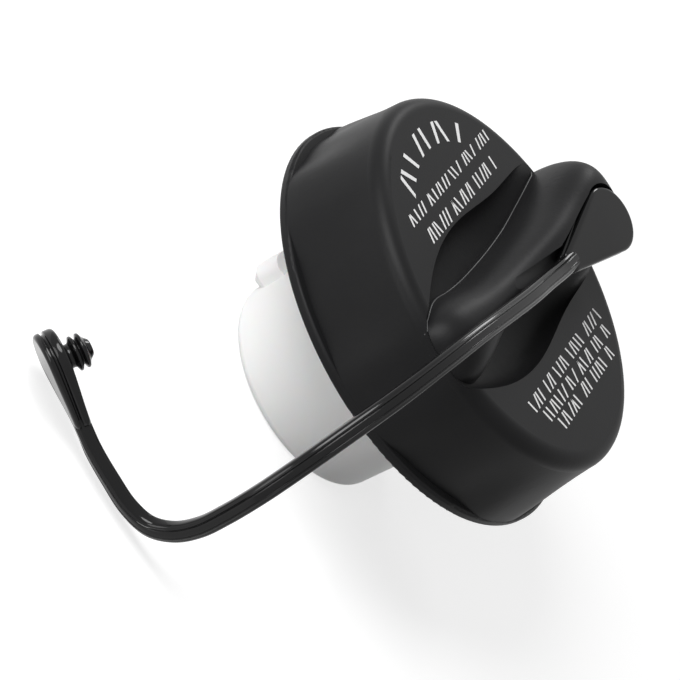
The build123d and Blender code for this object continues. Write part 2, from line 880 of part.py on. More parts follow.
def strap():
    far = far_plane()
    near_reach = near_paddle_length - paddle_radius
    far_reach = far_paddle_length - far_paddle_radius
    places = [neck_point(pivot, near_reach, strap_width)]
    places = places + [Vector(*place) for place, _ in strap_route]
    places = places + [neck_point(far, far_reach, inset) for inset in (-neck_lead, strap_width)]
    normals = [pivot.z_dir] + [Vector(*normal) for _, normal in strap_route] + [far.z_dir, far.z_dir]
    sections = []
    for index, (place, normal) in enumerate(zip(places, normals)):
        before = places[max(index - 1, 0)]
        after = places[min(index + 1, len(places) - 1)]
        sections.append(strap_section(place, after - before, normal))
    return Solid.make_loft(sections)


def paddle_blade(radius, length):
    """Paddle with its top face on the local plane and softened edges."""
    blade = Pos(0, 0, -paddle_thickness) * extrude(paddle_outline(radius, length), paddle_thickness)
    rims = blade.edges().group_by(Axis.Z)
    blade = fillet(rims[-1] + rims[0], paddle_edge_round)
    band = extrude(paddle_outline(radius + fit, length + fit), paddle_groove_height)
    core = extrude(paddle_outline(radius - paddle_groove, length), paddle_groove_height)
    return blade - Pos(0, 0, -paddle_groove_drop - paddle_groove_height) * (band - core)


def snap_pin():
    """Split pin under the near paddle that snaps through the handle's land."""
    shank_end = -seat_depth - pin_land - fit
    head = Plane.XZ * Polyline(
        (0, -paddle_thickness / 2),
        (pin_radius, -paddle_thickness / 2),
        (pin_radius, shank_end),
        (pin_head_radius, shank_end - fit),
        (pin_head_radius, shank_end - pin_head_height / 3),
        (pin_tip_radius, shank_end - pin_head_height),
        (0, shank_end - pin_head_height),
        close=True,
    )
    pin = revolve(make_face(head), Axis.Z)
    depth = pin_head_height + pin_land
    gap = Pos(0, 0, shank_end - pin_head_height) * Box(split_width, 4 * pin_radius, depth, align=TOP)
    return pin - gap


def push_pin():
    """Barbed pin of the far paddle, pointing down from the local plane."""
    base = -paddle_thickness
    level = base - push_shank
    points = [(0, base / 2), (push_pin_radius, base / 2), (push_pin_radius, level)]
    for _ in range(push_ridge_count):
        points.append((push_ridge_radius, level - push_ridge_gap))
        level = level - push_ridge_gap - push_ridge_height
        points.append((push_pin_radius, level))
    points.append((push_tip_radius, level - push_tip))
    points.append((0, level - push_tip))
    return revolve(make_face(Plane.XZ * Polyline(*points, close=True)), Axis.Z)


def make_tether():
    body = strap()
    body = body + pivot * (paddle_blade(paddle_radius, near_paddle_length) + snap_pin())
    return body + far_plane() * (paddle_blade(far_paddle_radius, far_paddle_length) + push_pin())


MAKERS = {
    "cover": make_cover,
    "cover_retainer": make_cover_retainer,
    "drive_ring": make_drive_ring,
    "pawl_ring": make_pawl_ring,
    "return_spring": make_return_spring,
    "thrust_washer": make_thrust_washer,
    "ratchet_ring": make_ratchet_ring,
    "valve_cover": make_valve_cover,
    "closure_housing": make_housing,
    "neck_seal": make_neck_seal,
    "valve_seat": make_valve_seat,
    "seat_o_ring": make_seat_ring,
    "pressure_plate": make_pressure_plate,
    "pressure_seal": make_pressure_seal,
    "pressure_spring": make_pressure_spring,
    "vacuum_plunger": make_vacuum_plunger,
    "vacuum_seal": make_vacuum_seal,
    "vacuum_spring": make_vacuum_spring,
    "vacuum_clip": make_vacuum_clip,
    "splash_baffle": make_splash_baffle,
    "end_cap": make_end_cap,
    "tether": make_tether,
}

for name, maker in MAKERS.items():
    export_step(maker(), f"parts/{name}.step")
    print("wrote", name)
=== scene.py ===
import json
import math
import random

import bmesh
import bpy
from mathutils import Matrix, Vector
from mathutils.bvhtree import BVHTree


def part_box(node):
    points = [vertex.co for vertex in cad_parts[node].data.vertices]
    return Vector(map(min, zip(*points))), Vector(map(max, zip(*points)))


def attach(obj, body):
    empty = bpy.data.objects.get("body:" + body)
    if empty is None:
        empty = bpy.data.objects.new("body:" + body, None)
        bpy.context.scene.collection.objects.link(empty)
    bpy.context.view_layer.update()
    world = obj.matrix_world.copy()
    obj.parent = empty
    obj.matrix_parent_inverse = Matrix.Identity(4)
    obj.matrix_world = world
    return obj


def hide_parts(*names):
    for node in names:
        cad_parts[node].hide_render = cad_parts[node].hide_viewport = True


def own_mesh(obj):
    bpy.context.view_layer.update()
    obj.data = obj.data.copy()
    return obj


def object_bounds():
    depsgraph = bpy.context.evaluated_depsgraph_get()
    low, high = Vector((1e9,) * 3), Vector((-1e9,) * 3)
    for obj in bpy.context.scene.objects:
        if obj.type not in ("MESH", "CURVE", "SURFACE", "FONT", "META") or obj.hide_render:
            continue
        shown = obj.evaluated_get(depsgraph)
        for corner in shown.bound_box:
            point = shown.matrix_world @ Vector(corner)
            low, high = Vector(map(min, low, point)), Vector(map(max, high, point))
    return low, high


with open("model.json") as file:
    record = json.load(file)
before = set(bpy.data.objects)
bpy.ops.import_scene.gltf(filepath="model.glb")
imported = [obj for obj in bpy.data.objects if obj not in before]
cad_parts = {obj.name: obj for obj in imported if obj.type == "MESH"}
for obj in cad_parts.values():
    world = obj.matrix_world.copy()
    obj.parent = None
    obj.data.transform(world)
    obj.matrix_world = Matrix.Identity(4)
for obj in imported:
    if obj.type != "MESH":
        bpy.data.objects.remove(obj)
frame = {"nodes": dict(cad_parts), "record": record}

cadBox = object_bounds()
mm = 0.001

# the camera

cameraSetup = {
    "azimuth": -11.0,
    "elevation": 26.94,
    "roll": 61.65,
    "distance": 640.8 * mm,
    "lens": 185.3,
    "aimAcross": -14.46 * mm,
    "aimUp": -2.585 * mm,
    "nearest": 10 * mm,
}


def cameraAxes(setup):
    # right, up and back of a camera that is turned about its own view line
    a, e, r = (math.radians(setup[k]) for k in ("azimuth", "elevation", "roll"))
    back = Vector((math.sin(a) * math.cos(e), -math.cos(a) * math.cos(e), math.sin(e)))
    level = Vector((math.cos(a), math.sin(a), 0))
    upright = back.cross(level)
    return (
        level * math.cos(r) + upright * math.sin(r),
        upright * math.cos(r) - level * math.sin(r),
        back,
    )


def makeCamera(setup):
    across, up, back = cameraAxes(setup)
    place = back * setup["distance"]
    look = (place - across * setup["aimAcross"] - up * setup["aimUp"]).normalized()
    right = up.cross(look).normalized()
    top = look.cross(right)
    data = bpy.data.cameras.new("camera")
    data.lens = setup["lens"]
    data.clip_start = setup["nearest"]
    camera = bpy.data.objects.new("camera", data)
    camera.matrix_world = Matrix.Translation(place) @ Matrix((right, top, look)).transposed().to_4x4()
    bpy.context.collection.objects.link(camera)
    bpy.context.scene.camera = camera


makeCamera(cameraSetup)
print("camera ready")

# light and floor

lightSetup = {
    "worldStrength": 0.30,
    "lamps": {
        "key": {"from": (-0.60, -0.32, 0.60), "distance": 0.60, "size": 0.35, "power": 3.2},
        "lowFill": {"from": (-0.60, -0.78, -0.02), "distance": 0.6, "size": 0.4, "power": 1.65},
        "strip": {"from": (-0.325, 0.783, 0.485), "distance": 0.6, "size": 0.16, "power": 0.55},
    },
    "backdropStrength": 1.0,
    "floorSize": 3.0, "floorGap": 0.05 * mm,
    "floorGlow": 0.70, "floorColour": 0.50,
}


def areaLight(name, direction, distance, size, power):
    data = bpy.data.lights.new(name, "AREA")
    data.shape = "DISK"
    data.size = size
    data.energy = power
    lamp = bpy.data.objects.new(name, data)
    lamp.location = direction.normalized() * distance
    lamp.rotation_mode = "QUATERNION"
    lamp.rotation_quaternion = direction.to_track_quat("Z", "Y")
    bpy.context.collection.objects.link(lamp)


def seenByCamera(tree):
    # 1 for rays that show the backdrop: from the camera, in reflections and through clear pieces
    path = tree.nodes.new("ShaderNodeLightPath")
    seen = path.outputs["Is Camera Ray"]
    for ray in ("Is Glossy Ray", "Is Transmission Ray"):
        either = tree.nodes.new("ShaderNodeMath")
        either.operation = "MAXIMUM"
        tree.links.new(seen, either.inputs[0])
        tree.links.new(path.outputs[ray], either.inputs[1])
        seen = either.outputs[0]
    return seen


def makeWorld(setup):
    world = bpy.data.worlds.new("studio")
    bpy.context.scene.world = world
    world.use_nodes = True
    tree = world.node_tree
    tree.nodes.clear()
    out = tree.nodes.new("ShaderNodeOutputWorld")
    mix = tree.nodes.new("ShaderNodeMixShader")
    plain = tree.nodes.new("ShaderNodeBackground")
    plain.inputs["Strength"].default_value = setup["worldStrength"]
    white = tree.nodes.new("ShaderNodeBackground")
    white.inputs["Strength"].default_value = setup["backdropStrength"]
    tree.links.new(seenByCamera(tree), mix.inputs[0])
    tree.links.new(plain.outputs[0], mix.inputs[1])
    tree.links.new(white.outputs[0], mix.inputs[2])
    tree.links.new(mix.outputs[0], out.inputs["Surface"])


def makeFloor(setup, level):
    bpy.ops.mesh.primitive_plane_add(size=setup["floorSize"], location=(0, 0, level - setup["floorGap"]))
    floor = bpy.context.object
    floor.name = "floor"
    material = bpy.data.materials.new("floorPaper")
    material.use_nodes = True
    tree = material.node_tree
    tree.nodes.clear()
    out = tree.nodes.new("ShaderNodeOutputMaterial")
    paper = tree.nodes.new("ShaderNodeBsdfDiffuse")
    paper.inputs["Color"].default_value = (*[setup["floorColour"]] * 3, 1)
    glow = tree.nodes.new("ShaderNodeEmission")
    glow.inputs["Strength"].default_value = setup["floorGlow"]
    both = tree.nodes.new("ShaderNodeAddShader")
    mix = tree.nodes.new("ShaderNodeMixShader")
    tree.links.new(paper.outputs[0], both.inputs[0])
    tree.links.new(glow.outputs[0], both.inputs[1])
    tree.links.new(seenByCamera(tree), mix.inputs[0])
    tree.links.new(paper.outputs[0], mix.inputs[1])
    tree.links.new(both.outputs[0], mix.inputs[2])
    tree.links.new(mix.outputs[0], out.inputs["Surface"])
    floor.data.materials.append(material)


makeWorld(lightSetup)
makeFloor(lightSetup, cadBox[0].z)
for lampName, lamp in lightSetup["lamps"].items():
    areaLight(lampName, Vector(lamp["from"]), lamp["distance"], lamp["size"], lamp["power"])
bpy.context.scene.view_settings.view_transform = "Standard"
print("light ready")

# effects that several finishes share

grainPattern = {
    "pitDetail": 3.0, "cellShare": 0.8, "cellHeight": 0.4,
    "mottleDetail": 4.0, "mottleShare": 0.03,
}


def startGroup(name, inputs, outputs):
    group = bpy.data.node_groups.new(name, "ShaderNodeTree")
    group.interface.new_socket("Vector", in_out="INPUT", socket_type="NodeSocketVector")
    for label, value in inputs.items():
        socket = group.interface.new_socket(label, in_out="INPUT", socket_type="NodeSocketFloat")
        socket.default_value = value
    for label in outputs:
        group.interface.new_socket(label, in_out="OUTPUT", socket_type="NodeSocketFloat")
    return group, group.nodes.new("NodeGroupInput"), group.nodes.new("NodeGroupOutput")


def addMath(tree, operation, first, second):
    node = tree.nodes.new("ShaderNodeMath")
    node.operation = operation
    for index, value in enumerate((first, second)):
        if isinstance(value, (int, float)):
            node.inputs[index].default_value = value
        else:
            tree.links.new(value, node.inputs[index])
    return node.outputs[0]


def makeGrainGroup():
    # spark-eroded mould grain: fine pits over a slow mottle
    group, into, out = startGroup("mouldGrain", {"Scale": 2000.0}, ("Height", "Mottle"))
    pits = group.nodes.new("ShaderNodeTexNoise")
    pits.inputs["Detail"].default_value = grainPattern["pitDetail"]
    group.links.new(into.outputs["Vector"], pits.inputs["Vector"])
    group.links.new(into.outputs["Scale"], pits.inputs["Scale"])
    cells = group.nodes.new("ShaderNodeTexVoronoi")
    group.links.new(into.outputs["Vector"], cells.inputs["Vector"])
    cellScale = addMath(group, "MULTIPLY", into.outputs["Scale"], grainPattern["cellShare"])
    group.links.new(cellScale, cells.inputs["Scale"])
    cellHeight = addMath(group, "MULTIPLY", cells.outputs["Distance"], grainPattern["cellHeight"])
    group.links.new(addMath(group, "ADD", pits.outputs["Fac"], cellHeight), out.inputs["Height"])
    slow = group.nodes.new("ShaderNodeTexNoise")
    slow.inputs["Detail"].default_value = grainPattern["mottleDetail"]
    group.links.new(into.outputs["Vector"], slow.inputs["Vector"])
    slowScale = addMath(group, "MULTIPLY", into.outputs["Scale"], grainPattern["mottleShare"])
    group.links.new(slowScale, slow.inputs["Scale"])
    group.links.new(slow.outputs["Fac"], out.inputs["Mottle"])
    return group


def makeDustGroup():
    # stray specks: a few cells of a coarse pattern hold one small dot each
    group, into, out = startGroup("strayDust", {"Scale": 200.0, "Amount": 0.05, "Size": 0.1}, ("Mask",))
    cells = group.nodes.new("ShaderNodeTexVoronoi")
    group.links.new(into.outputs["Vector"], cells.inputs["Vector"])
    group.links.new(into.outputs["Scale"], cells.inputs["Scale"])
    tint = group.nodes.new("ShaderNodeSeparateColor")
    group.links.new(cells.outputs["Color"], tint.inputs[0])
    chosen = addMath(group, "LESS_THAN", tint.outputs[0], into.outputs["Amount"])
    width = addMath(group, "MULTIPLY", tint.outputs[1], into.outputs["Size"])
    near = addMath(group, "LESS_THAN", cells.outputs["Distance"], width)
    group.links.new(addMath(group, "MULTIPLY", chosen, near), out.inputs["Mask"])
    return group


grainGroup = makeGrainGroup()
dustGroup = makeDustGroup()


def useGroup(tree, group, **values):
    node = tree.nodes.new("ShaderNodeGroup")
    node.node_tree = group
    place = tree.nodes.new("ShaderNodeTexCoord")
    tree.links.new(place.outputs["Object"], node.inputs["Vector"])
    for label, value in values.items():
        node.inputs[label].default_value = value
    return node


def mixColours(tree, mask, first, second):
    node = tree.nodes.new("ShaderNodeMix")
    node.data_type = "RGBA"
    tree.links.new(mask, node.inputs["Factor"])
    for label, value in (("A", first), ("B", second)):
        socket = [s for s in node.inputs if s.name == label and s.type == "RGBA"][0]
        if isinstance(value, tuple):
            socket.default_value = (*value, 1)
        else:
            tree.links.new(value, socket)
    return [s for s in node.outputs if s.type == "RGBA"][0]


def mapRange(tree, value, low, high):
    node = tree.nodes.new("ShaderNodeMapRange")
    node.inputs["To Min"].default_value = low
    node.inputs["To Max"].default_value = high
    tree.links.new(value, node.inputs["Value"])
    return node.outputs["Result"]


def startMaterial(name, **sockets):
    material = bpy.data.materials.new(name)
    material.use_nodes = True
    tree = material.node_tree
    shader = tree.nodes["Principled BSDF"]
    for label, value in sockets.items():
        shader.inputs[label.replace("_", " ")].default_value = value
    return material, tree, shader


def addGrain(tree, shader, grain, look):
    # the grain's mottle sets how rough the surface is, and its pits the relief
    rough = mapRange(tree, grain.outputs["Mottle"], look["roughLow"], look["roughHigh"])
    tree.links.new(rough, shader.inputs["Roughness"])
    bump = tree.nodes.new("ShaderNodeBump")
    bump.inputs["Strength"].default_value = look["grainStrength"]
    bump.inputs["Distance"].default_value = look["grainDepth"]
    tree.links.new(grain.outputs["Height"], bump.inputs["Height"])
    tree.links.new(bump.outputs[0], shader.inputs["Normal"])


# finishes

coverFinish = {
    "dark": (0.0075, 0.0075, 0.008), "light": (0.013, 0.013, 0.0135), "dust": (0.30, 0.30, 0.29),
    "gloss": 0.11, "roughLow": 0.38, "roughHigh": 0.50,
    "grainScale": 2600.0, "grainStrength": 0.35, "grainDepth": 0.03 * mm,
    "dustScale": 160.0, "dustAmount": 0.03, "dustSize": 0.09,
}
tetherFinish = {
    "dark": (0.005, 0.005, 0.0053), "light": (0.008, 0.008, 0.0083), "dust": (0.3, 0.3, 0.3),
    "gloss": 0.24, "roughLow": 0.07, "roughHigh": 0.12,
    "grainScale": 900.0, "grainStrength": 0.12, "grainDepth": 0.02 * mm,
    "dustScale": 260.0, "dustAmount": 0.03, "dustSize": 0.07,
}


def makeBlackPlastic(name, look):
    material, tree, shader = startMaterial(name, Specular_IOR_Level=look["gloss"])
    grain = useGroup(tree, grainGroup, Scale=look["grainScale"])
    dust = useGroup(
        tree, dustGroup, Scale=look["dustScale"], Amount=look["dustAmount"], Size=look["dustSize"]
    )
    body = mixColours(tree, grain.outputs["Mottle"], look["dark"], look["light"])
    dusted = mixColours(tree, dust.outputs["Mask"], body, look["dust"])
    tree.links.new(dusted, shader.inputs["Base Color"])
    addGrain(tree, shader, grain, look)
    return material


acetalFinish = {
    "white": {"dark": (0.87, 0.87, 0.865), "light": (0.92, 0.92, 0.915)},
    "grey": {"dark": (0.36, 0.36, 0.35), "light": (0.42, 0.42, 0.41)},
    "roughLow": 0.34, "roughHigh": 0.46,
    "grainScale": 500.0, "grainStrength": 0.08, "grainDepth": 0.02 * mm,
    "glow": 0.12, "glowRadius": 1.0 * mm,
}


def makeAcetal(name, shade, look):
    material, tree, shader = startMaterial(
        name, Subsurface_Weight=look["glow"], Subsurface_Scale=look["glowRadius"]
    )
    grain = useGroup(tree, grainGroup, Scale=look["grainScale"])
    body = mixColours(tree, grain.outputs["Mottle"], shade["dark"], shade["light"])
    tree.links.new(body, shader.inputs["Base Color"])
    addGrain(tree, shader, grain, look)
    return material


rubberFinish = {
    "dark": (0.014, 0.014, 0.014), "light": (0.024, 0.024, 0.024), "metal": 0.0,
    "roughLow": 0.55, "roughHigh": 0.7, "grainScale": 1500.0, "grainStrength": 0.1, "grainDepth": 0.01 * mm,
}
steelFinish = {
    "dark": (0.42, 0.43, 0.44), "light": (0.60, 0.61, 0.62), "metal": 1.0,
    "roughLow": 0.22, "roughHigh": 0.36, "grainScale": 1500.0, "grainStrength": 0.1, "grainDepth": 0.01 * mm,
}


def makePlain(name, look):
    material, tree, shader = startMaterial(name, Metallic=look["metal"])
    grain = useGroup(tree, grainGroup, Scale=look["grainScale"])
    body = mixColours(tree, grain.outputs["Mottle"], look["dark"], look["light"])
    tree.links.new(body, shader.inputs["Base Color"])
    addGrain(tree, shader, grain, look)
    return material


finishes = {
    "cover_plastic": makeBlackPlastic("coverPlastic", coverFinish),
    "tether_plastic": makeBlackPlastic("tetherPlastic", tetherFinish),
    "acetal_white": makeAcetal("acetalWhite", acetalFinish["white"], acetalFinish),
    "acetal_grey": makeAcetal("acetalGrey", acetalFinish["grey"], acetalFinish),
    "seal_rubber": makePlain("sealRubber", rubberFinish),
    "spring_steel": makePlain("springSteel", steelFinish),
}
print("finishes ready")

# the carried-over pieces

slotOf = {part["node"]: part["material_slot"] for part in frame["record"]["subparts"]}
for node, obj in frame["nodes"].items():
    obj.data.materials.clear()
    obj.data.materials.append(finishes[slotOf[node]])

# the two valve springs, which get shorter as their valves open; here each coil is copied as it stands and
# carried by the body that holds it

springSet = {
    "pressure_spring": {
        "body": "closure", "joint": "pressure_relief", "anchor": 2.4 * mm, "travel": 2.0 * mm,
    },
    "vacuum_spring": {
        "body": "pressure_valve", "joint": "vacuum_relief", "anchor": -8.7 * mm, "travel": 1.6 * mm,
    },
}


def makeSpring(node, look):
    coil = frame["nodes"][node]
    low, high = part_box(node)
    piece = bpy.data.objects.new(node + "Coil", coil.data.copy())
    piece.matrix_world = coil.matrix_world.copy()
    bpy.context.collection.objects.link(piece)
    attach(piece, look["body"])
    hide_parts(node)
    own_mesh(piece)


for springName, springLook in springSet.items():
    makeSpring(springName, springLook)
print("springs ready")

# the tether: a moulded strap between a paddle on the handle and a paddle with a push pin

tetherShape = {
    "strapWidth": 3.4, "strapThickness": 2.8, "strapRound": 0.9, "cornerSteps": 4, "stepsPerSpan": 14,
    "grooveAt": 0.63, "grooveHalfWidth": 0.1, "grooveDepth": 0.16, "grooveSlope": 0.02, "grooveFloor": 0.4,
    "pivot": (4.6, 26.6, 32.4), "pivotTilt": 8.0, "nearRadius": 6.5, "nearReach": 19.5,
    "farCentre": (-38.5, -76.6, -20.5), "farOutward": (-0.25, -0.6, -0.76),
    "farRadius": 5.6, "farReach": 11.6,
    "paddleThickness": 3.6, "neckWidth": 3.7, "neckThickness": 2.8, "neckLead": 1.5,
    "edgeRound": 0.75, "edgeSteps": 5, "rimBands": (0.25, 0.1),
    "sideGrooveTop": 1.1, "sideGrooveHeight": 0.7, "sideGrooveDepth": 0.5,
    "sideGrooveRamp": 0.1, "sideGrooveLip": 0.08, "sideGrooveLipDepth": 0.06,
    "headSteps": 40, "sideSteps": 14, "turns": 40,
    "shankEnd": 7.3, "pinRadius": 2.35, "pinHeadRadius": 2.9, "pinHeadHeight": 3.2, "pinTip": 1.6,
    "pinStep": 0.05, "pinFlatShare": 1 / 3, "pinCore": 0.2,
    "pushRadius": 2.1, "pushRidge": 3.1, "pushShank": 1.2, "pushGap": 0.4, "pushHeight": 0.9,
    "pushTip": 0.9, "pushTipRadius": 1.3, "pushRidges": 2, "pushRidgeTaper": 0.05, "pushRidgeFace": 0.45,
    "pushFoot": 0.5, "pushFootSpread": 0.1, "pushFootSink": 0.2, "pushCornerRound": 0.3, "pushCornerSteps": 4,
    "route": [  # middle of the strap and the way its broad face looks
        ((4.3, 4.6, 28.0), (0.0, -0.06, 1.0)),
        ((3.5, -2.6, 28.0), (0.0, -0.02, 1.0)),
        ((2.4, -13.0, 28.2), (0.0, -0.02, 1.0)),
        ((0.9, -24.5, 28.0), (0.0, -0.03, 1.0)),
        ((-0.6, -36.0, 27.3), (0.0, -0.10, 1.0)),
        ((-1.8, -48.5, 25.0), (0.0, -0.24, 0.97)),
        ((-2.6, -59.5, 20.6), (0.0, -0.48, 0.88)),
        ((-3.1, -68.3, 14.0), (0.0, -0.74, 0.67)),
        ((-3.2, -74.4, 6.6), (0.0, -0.88, 0.47)),
        ((-3.0, -77.8, -1.0), (0.0, -0.97, 0.22)),
        ((-2.9, -79.1, -8.2), (0.0, -1.0, 0.02)),
        ((-3.1, -79.2, -13.6), (0.0, -0.99, -0.1)),
        ((-4.4, -79.0, -18.4), (-0.04, -0.96, -0.2)),
        ((-7.2, -78.8, -21.9), (-0.08, -0.9, -0.34)),
        ((-11.6, -78.5, -23.4), (-0.12, -0.82, -0.5)),
        ((-17.0, -78.2, -23.5), (-0.17, -0.75, -0.6)),
        ((-22.6, -77.9, -23.2), (-0.23, -0.7, -0.66)),
    ],
}


curvePace = {"power": 0.5, "shortest": 0.01}


def spanTime(first, second):
    return max((second - first).length, curvePace["shortest"]) ** curvePace["power"]


def smoothThrough(points, steps):
    # a curve through the points that takes longer over the longer spans
    ends = [points[0] * 2 - points[1]] + points + [points[-1] * 2 - points[-2]]
    line = []
    for p0, p1, p2, p3 in zip(ends, ends[1:], ends[2:], ends[3:]):
        t0 = 0.0
        t1 = t0 + spanTime(p0, p1)
        t2 = t1 + spanTime(p1, p2)
        t3 = t2 + spanTime(p2, p3)
        for step in range(steps):
            t = t1 + (t2 - t1) * step / steps
            a1 = p0 * ((t1 - t) / (t1 - t0)) + p1 * ((t - t0) / (t1 - t0))
            a2 = p1 * ((t2 - t) / (t2 - t1)) + p2 * ((t - t1) / (t2 - t1))
            a3 = p2 * ((t3 - t) / (t3 - t2)) + p3 * ((t - t2) / (t3 - t2))
            b1 = a1 * ((t2 - t) / (t2 - t0)) + a2 * ((t - t0) / (t2 - t0))
            b2 = a2 * ((t3 - t) / (t3 - t1)) + a3 * ((t - t1) / (t3 - t1))
            line.append(b1 * ((t2 - t) / (t2 - t1)) + b2 * ((t - t1) / (t2 - t1)))
    return line + [points[-1]]


def paddleFrame(origin, across, outward):
    # columns: across the paddle, along it away from the strap, outwards
    along = outward.cross(across)
    return Matrix((across, along, outward)).transposed().to_4x4(), origin


def nearFrame(shape):
    tilt = math.radians(shape["pivotTilt"])
    outward = Vector((0, -math.sin(tilt), math.cos(tilt)))
    return paddleFrame(Vector(shape["pivot"]), Vector((1, 0, 0)), outward)


def farFrame(shape):
    centre = Vector(shape["farCentre"])
    along = (centre - Vector(shape["route"][-1][0])).normalized()
    across = along.cross(Vector(shape["farOutward"])).normalized()
    outward = across.cross(along)
    return paddleFrame(centre + outward * shape["paddleThickness"] / 2, across, outward)


def inFrame(place, point):
    turn, origin = place
    return origin + turn @ Vector(point)


def strapProfile(shape):
    # rounded rectangle with two fine grooves along its broad outer face
    half, top, r = shape["strapWidth"] / 2, shape["strapThickness"] / 2, shape["strapRound"]
    x, z = half - r, top - r
    ring = []
    for cx, cz, start in ((x, z, 0), (-x, z, 90), (-x, -z, 180), (x, -z, 270)):
        for step in range(shape["cornerSteps"] + 1):
            angle = math.radians(start + 90 * step / shape["cornerSteps"])
            ring.append((cx + r * math.cos(angle), cz + r * math.sin(angle)))
        if start == 0:
            w, slope = shape["grooveHalfWidth"], top - shape["grooveSlope"]
            base, floor = w * shape["grooveFloor"], top - shape["grooveDepth"]
            for middle in (shape["grooveAt"], -shape["grooveAt"]):
                ring += [(middle + 2 * w, top), (middle + w, slope), (middle + base, floor)]
                ring += [(middle - base, floor), (middle - w, slope), (middle - 2 * w, top)]
    return ring


def addStrap(mesh, shape):
    near, far = nearFrame(shape), farFrame(shape)
    deep = -shape["paddleThickness"] / 2
    inset = shape["strapWidth"]
    farNeck = -shape["farReach"]
    points = [inFrame(near, (0, inset - shape["nearReach"], deep))]
    points += [Vector(place) for place, _ in shape["route"]]
    points += [inFrame(far, (0, farNeck - shape["neckLead"], deep)), inFrame(far, (0, farNeck + inset, deep))]
    looks = [near[0].col[2].xyz] + [Vector(look) for _, look in shape["route"]] + [far[0].col[2].xyz] * 2
    line = smoothThrough(points, shape["stepsPerSpan"])
    facing = smoothThrough(looks, shape["stepsPerSpan"])
    addRun(mesh, line, facing, strapProfile(shape))


def addRing(mesh, place, points):
    return [mesh.verts.new(inFrame(place, point) * mm) for point in points]


def joinRings(mesh, rings):
    for low, high in zip(rings, rings[1:]):
        for i in range(len(low)):
            j = (i + 1) % len(low)
            mesh.faces.new((low[i], low[j], high[j], high[i]))


def addRun(mesh, line, facing, profile):
    # the profile carried along the line, its upper side turned to where the line looks
    rings = []
    for index, (place, look) in enumerate(zip(line, facing)):
        along = (line[min(index + 1, len(line) - 1)] - line[max(index - 1, 0)]).normalized()
        across = along.cross(look).normalized()
        outward = across.cross(along)
        rings.append([mesh.verts.new((place + across * x + outward * z) * mm) for x, z in profile])
    joinRings(mesh, rings)
    mesh.faces.new(rings[0][::-1])
    mesh.faces.new(rings[-1])


def paddleRing(shape, radius, reach, inset):
    # teardrop about the pin: a round head and two straight flanks that run to the neck
    radius -= inset
    reach -= inset
    half = shape["neckWidth"] / 2 - inset
    turn = math.asin((radius - half) / reach)
    ring = []
    for step in range(shape["headSteps"] + 1):
        angle = -turn + (math.pi + 2 * turn) * step / shape["headSteps"]
        ring.append((radius * math.cos(angle), radius * math.sin(angle)))
    left = ring[-1]
    for step in range(1, shape["sideSteps"] + 1):
        share = step / shape["sideSteps"]
        ring.append((left[0] + (-half - left[0]) * share, left[1] + (-reach - left[1]) * share))
    for step in range(shape["sideSteps"]):
        share = 1 - step / shape["sideSteps"]
        ring.append((-left[0] + (half + left[0]) * share, left[1] + (-reach - left[1]) * share))
    return ring


def thinned(shape, reach, y, level):
    # the paddle gets thinner from its head to its neck, about its middle plane
    share = min(max(-y / reach, 0.0), 1.0)
    ease = share * share * (3 - 2 * share)
    ratio = 1 - ease * (1 - shape["neckThickness"] / shape["paddleThickness"])
    middle = -shape["paddleThickness"] / 2
    return middle + (level - middle) * ratio


def addPaddle(mesh, shape, place, radius, reach):
    thick, edge, steps = shape["paddleThickness"], shape["edgeRound"], shape["edgeSteps"]
    levels = [(edge + band, 0.0) for band in shape["rimBands"]]
    for step in range(steps + 1):
        angle = math.radians(90 * (1 - step / steps))
        levels.append((edge * (1 - math.cos(angle)), -edge * (1 - math.sin(angle))))
    top = -shape["sideGrooveTop"]
    end = top - shape["sideGrooveHeight"]
    deep, ramp = shape["sideGrooveDepth"], shape["sideGrooveRamp"]
    lip, lipDepth = shape["sideGrooveLip"], shape["sideGrooveLipDepth"]
    levels += [(0.0, top + lip), (lipDepth, top), (deep, top - ramp)]
    levels += [(deep, end + ramp), (lipDepth, end), (0.0, end - lip)]
    for step in range(steps + 1):
        angle = math.radians(90 * step / steps)
        levels.append((edge * (1 - math.cos(angle)), -thick + edge * (1 - math.sin(angle))))
    levels += [(edge + band, -thick) for band in reversed(shape["rimBands"])]
    rings = []
    for inset, level in levels:
        ring = paddleRing(shape, radius, reach, inset)
        points = [(x, y, thinned(shape, reach, y, level)) for x, y in ring]
        rings.append(addRing(mesh, place, points))
    joinRings(mesh, rings)
    mesh.faces.new(rings[0])
    mesh.faces.new(rings[-1][::-1])


def circle(radius, steps):
    angles = [2 * math.pi * step / steps for step in range(steps)]
    return [(radius * math.cos(angle), radius * math.sin(angle)) for angle in angles]


def addTurned(mesh, place, outline, turns):
    # a turned pin about the paddle's own axis, from (radius, level) pairs
    rings = []
    for radius, level in outline:
        points = [(x, y, level) for x, y in circle(radius, turns)]
        rings.append(addRing(mesh, place, points))
    joinRings(mesh, rings)
    mesh.faces.new(rings[0])
    mesh.faces.new(rings[-1][::-1])


cornerShare = 0.45  # most of a side that a rounded corner may take


def roundedRun(points, amount, steps):
    # the outline with each inner corner replaced by a short curve
    run = [points[0]]
    for before, here, after in zip(points, points[1:], points[2:]):
        b, h, a = Vector(before), Vector(here), Vector(after)
        r = min(amount, (h - b).length * cornerShare, (a - h).length * cornerShare)
        start, end = h + (b - h).normalized() * r, h + (a - h).normalized() * r
        for step in range(steps + 1):
            t = step / steps
            p = start * (1 - t) ** 2 + h * 2 * t * (1 - t) + end * t ** 2
            run.append((p.x, p.y))
    return run + [points[-1]]


